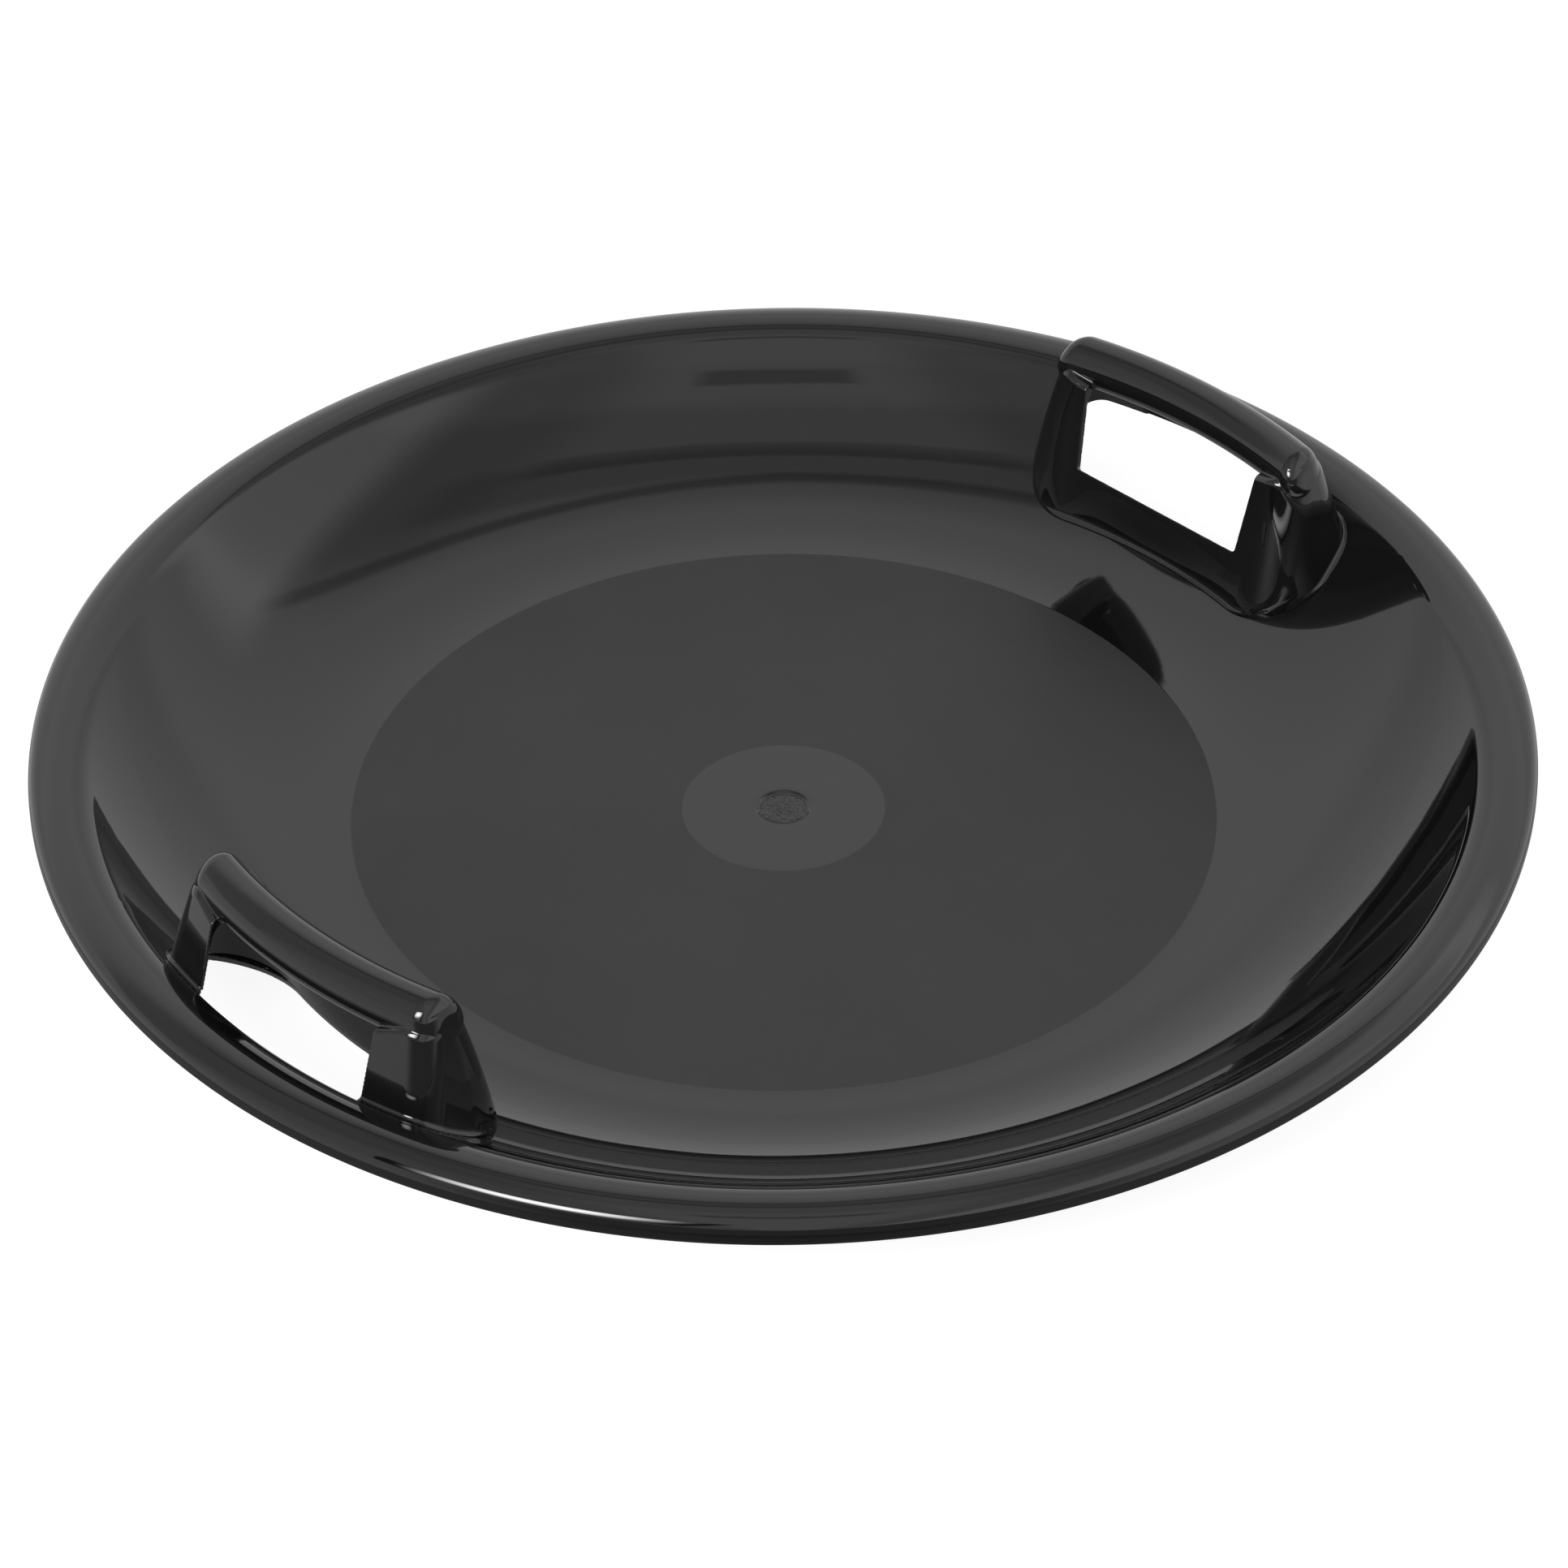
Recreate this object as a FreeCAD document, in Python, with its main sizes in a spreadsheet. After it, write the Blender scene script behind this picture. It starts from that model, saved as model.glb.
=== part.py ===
import FreeCAD, Part
import math
import os
import Sketcher

# Snow saucer: a round dish with a rolled rim and two hollow arched handles.
# Frame: origin on the ground under the dish centre, +Z up, the handles on +X and -X. Millimetres.

V = FreeCAD.Vector
doc = FreeCAD.newDocument("saucer_sled")

# ------------------------------------------------------------------ driving dimensions
sheet = doc.addObject("Spreadsheet::Sheet", "Dims")
cells = [
    # dish
    ("overall_dia", 600.0),        # over the rim
    ("floor_dia", 349.0),          # flat floor
    ("bowl_radius", 142.4),        # wall sweeping up from the floor in one curve
    ("wall_thick", 3.0),
    ("rim_height", 46.75),         # rim crest above the floor's top face
    ("crest_radius", 18.0),        # wall rolling over into the rim
    ("band_radius", 20.0),         # convex rim band
    ("edge_radius", 3.6),          # rim band rolling down into the skirt
    ("skirt_height", 35.0),        # lower edge of the rim skirt above the floor's top face
    ("gate_radius", 11.0),         # shallow round recess at the centre
    ("gate_depth", 0.8),
    # handle foot, where it stands in the dish wall
    ("foot_front_r", 222.4),
    ("foot_back_r", 273.8),
    ("foot_half", 77.2),
    ("foot_front_corner", 26.0),
    ("foot_back_corner", 18.0),
    ("foot_gap", 0.2),             # clearance round the foot in the dish opening
    ("bead_width", 1.3),           # bead that lies on the dish round the foot
    ("bead_height", 0.9),
    # flared legs, three levels, and a crown that narrows to the grip
    ("low_z", 0.0), ("low_front_r", 220.2), ("low_back_r", 283.9), ("low_half", 82.6),
    ("low_front_corner", 30.0), ("low_back_corner", 20.0),
    ("mid_z", 35.0), ("mid_front_r", 226.2), ("mid_back_r", 273.4), ("mid_half", 75.6),
    ("mid_front_corner", 19.5), ("mid_back_corner", 14.5),
    ("top_z", 71.3), ("top_front_r", 234.1), ("top_back_r", 262.5), ("top_half", 68.3),
    ("top_front_corner", 13.0), ("top_back_corner", 11.0),
    ("crown_z", 77.3), ("crown_front_r", 239.5), ("crown_back_r", 260.0), ("crown_half", 66.5),
    ("crown_front_corner", 9.5), ("crown_back_corner", 9.0),
    ("skin", 2.4),                 # handle wall thickness
    # grip
    ("grip_r", 250.0),             # grip's centre line, about the dish axis
    ("grip_z", 74.3),
    ("grip_tube", 10.4),           # grip's half width
    ("grip_half", 57.0),           # half length between the round ends' centres
    ("core_half", 4.4),            # slot that hollows the grip from below, half width
    ("core_rise", 3.0),            # top of that slot above the grip's centre line
    # hand openings through the handle
    ("sill_z", 34.0),              # top of the sill, front
    ("window_low", 44.0), ("window_high", 46.0), ("window_back", 45.0),
    # snap hooks under the foot: two on the sill, one on each leg
    ("hook_reach", 1.7), ("hook_drop", 3.2),
    ("hook_front_span", 5.0), ("hook_front_place", 8.0), ("hook_back_span", 2.6), ("hook_back_place", 11.0),
]
val = {}
for row, (alias, number) in enumerate(cells, start=1):
    sheet.set("A%d" % row, alias)
    sheet.set("B%d" % row, repr(number))
    sheet.setAlias("B%d" % row, alias)
    val[alias] = number
doc.recompute()


def number(terms):
    """Value of a sum of cells, written as [(factor, cell), ...]."""
    return sum(f * (val[a] if isinstance(a, str) else a) for f, a in terms)


def formula(terms):
    """The same sum as an expression on the sheet."""
    return " + ".join("(%r) * %s" % (f, "Dims." + a if isinstance(a, str) else repr(a)) for f, a in terms)


def plane(body, role):
    return [o for o in body.Origin.OriginFeatures if o.Role == role][0]


# the bowl's two faces are arcs about one centre, over the edge of the flat floor
BOWL_R = "Dims.floor_dia / 2"
BOWL_Z = "Dims.wall_thick + Dims.bowl_radius"
bowl_c = V(val["floor_dia"] / 2, val["wall_thick"] + val["bowl_radius"], 0)


def face(r, depth):
    """Height at a radius of the bowl surface `depth` below the upper face."""
    return bowl_c.y - math.sqrt((val["bowl_radius"] + depth) ** 2 - (r - bowl_c.x) ** 2)


def under(r):
    return face(r, val["wall_thick"])


def under_formula(r):
    return "(%s - sqrt((Dims.bowl_radius + Dims.wall_thick) ^ 2 - ((%s) - %s) ^ 2))" % (BOWL_Z, r, BOWL_R)


# ------------------------------------------------------------------ sketch helpers
def bind(sk, kind, args, expression, name):
    """A driving dimension in a sketch, tied to the sheet."""
    i = sk.addConstraint(Sketcher.Constraint(kind, *args))
    sk.renameConstraint(i, name)
    sk.setExpression("Constraints." + name, expression)
    return i


def outline(sk, rf, rb, ys, cf, cb):
    """Curved rounded rectangle seen from above: arcs about the dish axis in front and behind,
    straight ends at y = -ys and +ys, and four rounded corners. Each size is a sum of cells."""
    F, B, Y, CF, CB = [number(x) for x in (rf, rb, ys, cf, cb)]
    # corner centres
    yf, yb = Y - CF, Y - CB
    xf = math.sqrt((F + CF) ** 2 - yf ** 2)
    xb = math.sqrt((B - CB) ** 2 - yb ** 2)
    af, ab = math.atan2(yf, xf), math.atan2(yb, xb)
    O, Z = V(0, 0, 0), V(0, 0, 1)
    g = []
    g.append(sk.addGeometry(Part.ArcOfCircle(Part.Circle(O, Z, F), -af, af), False))                                    # 0 front
    g.append(sk.addGeometry(Part.ArcOfCircle(Part.Circle(V(xf, yf, 0), Z, CF), math.pi / 2, math.pi + af), False))       # 1 front corner +y
    g.append(sk.addGeometry(Part.LineSegment(V(xf, Y, 0), V(xb, Y, 0)), False))                                          # 2 end +y
    g.append(sk.addGeometry(Part.ArcOfCircle(Part.Circle(V(xb, yb, 0), Z, CB), ab, math.pi / 2), False))                 # 3 back corner +y
    g.append(sk.addGeometry(Part.ArcOfCircle(Part.Circle(O, Z, B), -ab, ab), False))                                    # 4 back
    g.append(sk.addGeometry(Part.ArcOfCircle(Part.Circle(V(xb, -yb, 0), Z, CB), -math.pi / 2, -ab), False))              # 5 back corner -y
    g.append(sk.addGeometry(Part.LineSegment(V(xb, -Y, 0), V(xf, -Y, 0)), False))                                        # 6 end -y
    g.append(sk.addGeometry(Part.ArcOfCircle(Part.Circle(V(xf, -yf, 0), Z, CF), math.pi - af, 3 * math.pi / 2), False))  # 7 front corner -y
    C = Sketcher.Constraint
    sk.addConstraint([
        C("Coincident", g[0], 3, -1, 1), C("Coincident", g[4], 3, -1, 1),
        C("Tangent", g[0], 2, g[1], 2), C("Tangent", g[1], 1, g[2], 1), C("Tangent", g[2], 2, g[3], 2),
        C("Tangent", g[3], 1, g[4], 2), C("Tangent", g[4], 1, g[5], 2), C("Tangent", g[5], 1, g[6], 1),
        C("Tangent", g[6], 2, g[7], 2), C("Tangent", g[7], 1, g[0], 1),
        C("Horizontal", g[2]), C("Horizontal", g[6]),
    ])
    bind(sk, "Radius", (g[0], F), formula(rf), "front")
    bind(sk, "Radius", (g[4], B), formula(rb), "back")
    bind(sk, "DistanceY", (-1, 1, g[2], 1, Y), formula(ys), "half_a")
    bind(sk, "DistanceY", (g[6], 1, -1, 1, Y), formula(ys), "half_b")
    bind(sk, "Radius", (g[1], CF), formula(cf), "corner_fa")
    bind(sk, "Radius", (g[7], CF), formula(cf), "corner_fb")
    bind(sk, "Radius", (g[3], CB), formula(cb), "corner_ba")
    bind(sk, "Radius", (g[5], CB), formula(cb), "corner_bb")


def polygon(sk, points):
    """Closed polygon; each point is ((x, expression), (y, expression))."""
    n = len(points)
    xy = [V(p[0][0], p[1][0], 0) for p in points]
    g = [sk.addGeometry(Part.LineSegment(xy[i], xy[(i + 1) % n]), False) for i in range(n)]
    for i in range(n):
        sk.addConstraint(Sketcher.Constraint("Coincident", g[i], 2, g[(i + 1) % n], 1))
    for i, p in enumerate(points):
        bind(sk, "DistanceX", (-1, 1, g[i], 1, p[0][0]), p[0][1], "x%d" % i)
        bind(sk, "DistanceY", (-1, 1, g[i], 1, p[1][0]), p[1][1], "y%d" % i)


# ------------------------------------------------------------------ pan
pan = doc.addObject("PartDesign::Body", "pan")
pan.Label = "pan"
prof = pan.newObject("Sketcher::SketchObject", "pan_profile")
prof.AttachmentSupport = [(plane(pan, "YZ_Plane"), "")]
prof.MapMode = "FlatFace"

t = val["wall_thick"]
rf_, ro_ = val["floor_dia"] / 2, val["overall_dia"] / 2
zt = t + val["rim_height"]
RW, RC, RB, RE = val["bowl_radius"], val["crest_radius"], val["band_radius"], val["edge_radius"]
# crest arc: tangent to the bowl, level at the crest
p4z = zt
p4r = rf_ + math.sqrt((RW + RC) ** 2 - (RW + RC - val["rim_height"]) ** 2)
alpha = math.acos(1 - val["rim_height"] / (RW + RC))
# rim band, then the roll into the vertical skirt at the overall radius
s5 = (ro_ - RE - p4r) / (RB - RE)
theta = math.asin(s5)
p6z = p4z - RB + (RB - RE) * math.cos(theta)
skirt = t + val["skirt_height"]
cc = V(p4r, p4z - RC, 0)
cb_ = V(p4r, p4z - RB, 0)
ce = V(ro_ - RE, p6z, 0)
Z1 = V(0, 0, 1)
gd, gr = val["gate_depth"], val["gate_radius"]

G = {}


def add(name, geo):
    G[name] = prof.addGeometry(geo, False)


def arc(c, r, a0, a1):
    return Part.ArcOfCircle(Part.Circle(c, Z1, r), a0, a1)


def line(a, b):
    return Part.LineSegment(a, b)


add("gate_floor", line(V(0, t - gd, 0), V(gr - gd, t - gd, 0)))
add("gate_side", line(V(gr - gd, t - gd, 0), V(gr, t, 0)))
add("floor", line(V(gr, t, 0), V(rf_, t, 0)))
add("bowl", arc(bowl_c, RW, -math.pi / 2, -math.pi / 2 + alpha))
add("crest", arc(cc, RC, math.pi / 2, math.pi / 2 + alpha))
add("band", arc(cb_, RB, math.pi / 2 - theta, math.pi / 2))
add("edge", arc(ce, RE, 0, math.pi / 2 - theta))
add("skirt", line(V(ro_, p6z, 0), V(ro_, skirt, 0)))
add("lip", line(V(ro_, skirt, 0), V(ro_ - t, skirt, 0)))
add("skirt_in", line(V(ro_ - t, skirt, 0), V(ro_ - t, p6z, 0)))
add("edge_in", arc(ce, RE - t, 0, math.pi / 2 - theta))
add("band_in", arc(cb_, RB - t, math.pi / 2 - theta, math.pi / 2))
add("crest_in", arc(cc, RC - t, math.pi / 2, math.pi / 2 + alpha))
add("bowl_in", arc(bowl_c, RW + t, -math.pi / 2, -math.pi / 2 + alpha))
add("base", line(V(rf_, 0, 0), V(0, 0, 0)))
add("axis", line(V(0, 0, 0), V(0, t - gd, 0)))
C = Sketcher.Constraint
prof.addConstraint([
    C("Coincident", G["gate_floor"], 2, G["gate_side"], 1), C("Coincident", G["gate_side"], 2, G["floor"], 1),
    C("Tangent", G["floor"], 2, G["bowl"], 1),
    C("Tangent", G["bowl"], 2, G["crest"], 2), C("Tangent", G["crest"], 1, G["band"], 2),
    C("Tangent", G["band"], 1, G["edge"], 2), C("Tangent", G["edge"], 1, G["skirt"], 1),
    C("Coincident", G["skirt"], 2, G["lip"], 1), C("Coincident", G["lip"], 2, G["skirt_in"], 1),
    C("Tangent", G["skirt_in"], 2, G["edge_in"], 1), C("Tangent", G["edge_in"], 2, G["band_in"], 1),
    C("Tangent", G["band_in"], 2, G["crest_in"], 1), C("Tangent", G["crest_in"], 2, G["bowl_in"], 2),
    C("Tangent", G["bowl_in"], 1, G["base"], 1),
    C("Coincident", G["base"], 2, G["axis"], 1), C("Coincident", G["axis"], 2, G["gate_floor"], 1),
    C("Coincident", G["base"], 2, -1, 1),
    C("Horizontal", G["gate_floor"]), C("Horizontal", G["floor"]), C("Horizontal", G["lip"]), C("Horizontal", G["base"]),
    C("Vertical", G["skirt"]), C("Vertical", G["axis"]),
    C("Coincident", G["bowl_in"], 3, G["bowl"], 3), C("Coincident", G["crest_in"], 3, G["crest"], 3),
    C("Coincident", G["band_in"], 3, G["band"], 3), C("Coincident", G["edge_in"], 3, G["edge"], 3),
    C("Vertical", G["crest"], 3, G["crest"], 1),
])
bind(prof, "DistanceX", (-1, 1, G["floor"], 2, rf_), "Dims.floor_dia / 2", "floor_r")
bind(prof, "DistanceY", (-1, 1, G["floor"], 2, t), "Dims.wall_thick", "floor_t")
bind(prof, "DistanceX", (-1, 1, G["gate_side"], 2, gr), "Dims.gate_radius", "gate_r")
bind(prof, "DistanceX", (-1, 1, G["gate_side"], 1, gr - gd), "Dims.gate_radius - Dims.gate_depth", "gate_in")
bind(prof, "DistanceY", (-1, 1, G["gate_floor"], 1, t - gd), "Dims.wall_thick - Dims.gate_depth", "gate_z")
bind(prof, "Radius", (G["bowl"], RW), "Dims.bowl_radius", "bowl_r")
bind(prof, "Radius", (G["crest"], RC), "Dims.crest_radius", "crest_r")
bind(prof, "DistanceY", (-1, 1, G["crest"], 1, zt), "Dims.wall_thick + Dims.rim_height", "crest_z")
bind(prof, "Radius", (G["band"], RB), "Dims.band_radius", "band_r")
bind(prof, "Radius", (G["edge"], RE), "Dims.edge_radius", "edge_r")
bind(prof, "DistanceX", (-1, 1, G["skirt"], 2, ro_), "Dims.overall_dia / 2", "rim_r")
bind(prof, "DistanceY", (-1, 1, G["skirt"], 2, skirt), "Dims.wall_thick + Dims.skirt_height", "skirt_z")
doc.recompute()

dish = pan.newObject("PartDesign::Revolution", "dish")
dish.Profile = prof
dish.ReferenceAxis = (prof, ["V_Axis"])
dish.Angle = 360.0
doc.recompute()

# one opening under each handle
hole = pan.newObject("Sketcher::SketchObject", "opening_outline")
hole.AttachmentSupport = [(plane(pan, "XY_Plane"), "")]
hole.MapMode = "FlatFace"
gap = (1, "foot_gap")
outline(hole, [(1, "foot_front_r"), (-1, "foot_gap")], [(1, "foot_back_r"), gap], [(1, "foot_half"), gap],
        [(1, "foot_front_corner"), gap], [(1, "foot_back_corner"), gap])
doc.recompute()
opening = pan.newObject("PartDesign::Pocket", "opening")
opening.Profile = hole
opening.Type = "ThroughAll"
opening.Midplane = True
doc.recompute()
pair = pan.newObject("PartDesign::PolarPattern", "opening_pair")
pair.Originals = [opening]
pair.Axis = (hole, ["N_Axis"])
pair.Angle = 360.0
pair.Occurrences = 2
pan.Tip = pair
doc.recompute()


# ------------------------------------------------------------------ handles
def sketch(name, placement):
    sk = doc.addObject("Sketcher::SketchObject", name)
    sk.Placement = placement
    return sk


LEVEL = FreeCAD.Rotation()
UPRIGHT = FreeCAD.Rotation(V(1, 0, 0), 90)                       # sketch x along X, sketch y along Z
CROSS = FreeCAD.Rotation(V(0, 1, 0), V(0, 0, 1), V(1, 0, 0))     # sketch x along Y, sketch y along Z


def level(name, z_cell, terms):
    """Horizontal outline at a height held in the sheet."""
    sk = sketch(name, FreeCAD.Placement(V(0, 0, val[z_cell]), LEVEL))
    sk.setExpression(".Placement.Base.z", "Dims." + z_cell)
    outline(sk, *terms)
    return sk


def prism(name, sk, height):
    ex = doc.addObject("Part::Extrusion", name)
    ex.Base = sk
    ex.DirMode = "Custom"
    ex.Dir = V(0, 0, 1)
    ex.LengthFwd = height
    ex.LengthRev = 40.0
    ex.Solid = True
    return ex


def revolve(name, sk, angle, start):
    """Turn an upright (radius, height) profile about the dish axis, from start degrees through angle."""
    rv = doc.addObject("Part::Revolution", name)
    rv.Source = sk
    rv.Axis = V(0, 0, 1)
    rv.Base = V(0, 0, 0)
    rv.Angle = angle
    rv.Solid = True
    rv.Placement = FreeCAD.Placement(V(0, 0, 0), FreeCAD.Rotation(V(0, 0, 1), start))
    return rv


def join(name, shapes):
    fu = doc.addObject("Part::MultiFuse", name)
    fu.Shapes = shapes
    return fu


def take(name, base, tool):
    cu = doc.addObject("Part::Cut", name)
    cu.Base = base
    cu.Tool = tool
    return cu


def overlap(name, base, tool):
    co = doc.addObject("Part::Common", name)
    co.Base = base
    co.Tool = tool
    return co


GRIP_ANGLE = "asin(Dims.grip_half / Dims.grip_r)"
grip_angle = math.degrees(math.asin(val["grip_half"] / val["grip_r"]))
skin = (-1, "skin")


def bar(name):
    """Grip: a round bar bent about the dish axis, with round ends."""
    to = doc.addObject("Part::Torus", name + "_round")
    to.setExpression("Radius1", "Dims.grip_r")
    to.setExpression("Radius2", "Dims.grip_tube")
    to.setExpression("Angle3", "2 * " + GRIP_ANGLE)
    to.Placement = FreeCAD.Placement(V(0, 0, val["grip_z"]), FreeCAD.Rotation(V(0, 0, 1), -grip_angle))
    to.setExpression(".Placement.Base.z", "Dims.grip_z")
    parts = [to]
    for tag, s in (("a", 1), ("b", -1)):
        sp = doc.addObject("Part::Sphere", name + "_end_" + tag)
        sp.setExpression("Radius", "Dims.grip_tube")
        sp.Placement = FreeCAD.Placement(V(math.sqrt(val["grip_r"] ** 2 - val["grip_half"] ** 2), s * val["grip_half"], val["grip_z"]), LEVEL)
        sp.setExpression(".Placement.Base.x", "sqrt(Dims.grip_r ^ 2 - Dims.grip_half ^ 2)")
        sp.setExpression(".Placement.Base.y", "%d * Dims.grip_half" % s)
        sp.setExpression(".Placement.Base.z", "Dims.grip_z")
        parts.append(sp)
    return join(name, parts)


def core(name):
    """Slot that hollows the grip from below."""
    sk = sketch(name + "_profile", FreeCAD.Placement(V(0, 0, 0), UPRIGHT))
    a = (val["grip_r"] - val["core_half"], "Dims.grip_r - Dims.core_half")
    b = (val["grip_r"] + val["core_half"], "Dims.grip_r + Dims.core_half")
    lo = (val["grip_z"] - val["grip_tube"] - 5.0, "Dims.grip_z - Dims.grip_tube - 5")
    hi = (val["grip_z"] + val["core_rise"], "Dims.grip_z + Dims.core_rise")
    polygon(sk, [(a, lo), (b, lo), (b, hi), (a, hi)])
    rv = revolve(name, sk, 2 * grip_angle, -grip_angle)
    rv.setExpression("Angle", "2 * " + GRIP_ANGLE)
    return rv


def leg_levels(name, inset, levels=("low", "mid", "top")):
    d = [skin] if inset else []
    u = [(1, "skin")] if inset else []
    out = []
    for lev in levels:
        out.append(level(name + "_" + lev, lev + "_z", (
            [(1, lev + "_front_r")] + u, [(1, lev + "_back_r")] + d, [(1, lev + "_half")] + d,
            [(1, lev + "_front_corner")] + d, [(1, lev + "_back_corner")] + d)))
    return out


def loft(name, sections):
    lo = doc.addObject("Part::Loft", name)
    lo.Sections = sections
    lo.Solid = True
    lo.Ruled = False
    return lo


def between(sk, r0, r1, depth, low_line):
    """Upright sketch under a bowl surface, from r0 to r1. depth is the surface's depth below the
    wall's upper face; low_line is the depth of a second such surface, or a plain height."""
    def bowl_arc(d):
        rad = val["bowl_radius"] + d[0]
        a0, a1 = [-math.pi / 2 + math.asin((r - bowl_c.x) / rad) for r in (r0, r1)]
        return sk.addGeometry(Part.ArcOfCircle(Part.Circle(bowl_c, V(0, 0, 1), rad), a0, a1), False), rad

    C = Sketcher.Constraint
    up, up_r = bowl_arc(depth)
    if isinstance(low_line, tuple):
        lo, lo_r = bowl_arc(low_line)
        z0, z1 = face(r0, low_line[0]), face(r1, low_line[0])
    else:
        lo = sk.addGeometry(Part.LineSegment(V(r0, low_line, 0), V(r1, low_line, 0)), False)
        z0, z1 = low_line, low_line
    near = sk.addGeometry(Part.LineSegment(V(r0, z0, 0), V(r0, face(r0, depth[0]), 0)), False)
    far = sk.addGeometry(Part.LineSegment(V(r1, z1, 0), V(r1, face(r1, depth[0]), 0)), False)
    sk.addConstraint([
        C("Coincident", lo, 1, near, 1), C("Coincident", near, 2, up, 1),
        C("Coincident", lo, 2, far, 1), C("Coincident", far, 2, up, 2),
        C("Vertical", near), C("Vertical", far),
    ])
    bind(sk, "DistanceX", (-1, 1, up, 3, bowl_c.x), BOWL_R, "bowl_x")
    bind(sk, "DistanceY", (-1, 1, up, 3, bowl_c.y), BOWL_Z, "bowl_y")
    bind(sk, "Radius", (up, up_r), "Dims.bowl_radius + " + depth[1], "upper")
    if isinstance(low_line, tuple):
        sk.addConstraint(C("Coincident", lo, 3, up, 3))
        bind(sk, "Radius", (lo, lo_r), "Dims.bowl_radius + " + low_line[1], "lower")
    else:
        sk.addConstraint(C("Horizontal", lo))
        bind(sk, "DistanceY", (-1, 1, lo, 1, low_line), repr(low_line), "lower")
    bind(sk, "DistanceX", (-1, 1, near, 1, r0), repr(r0), "near_r")
    bind(sk, "DistanceX", (-1, 1, far, 1, r1), repr(r1), "far_r")


def strip(name, depth, low_line):
    """Ring sector that follows the bowl, across the handle's place."""
    sk = sketch(name + "_profile", FreeCAD.Placement(V(0, 0, 0), UPRIGHT))
    between(sk, 205.0, 290.0, depth, low_line)
    return revolve(name, sk, 60.0, -30.0)


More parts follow.
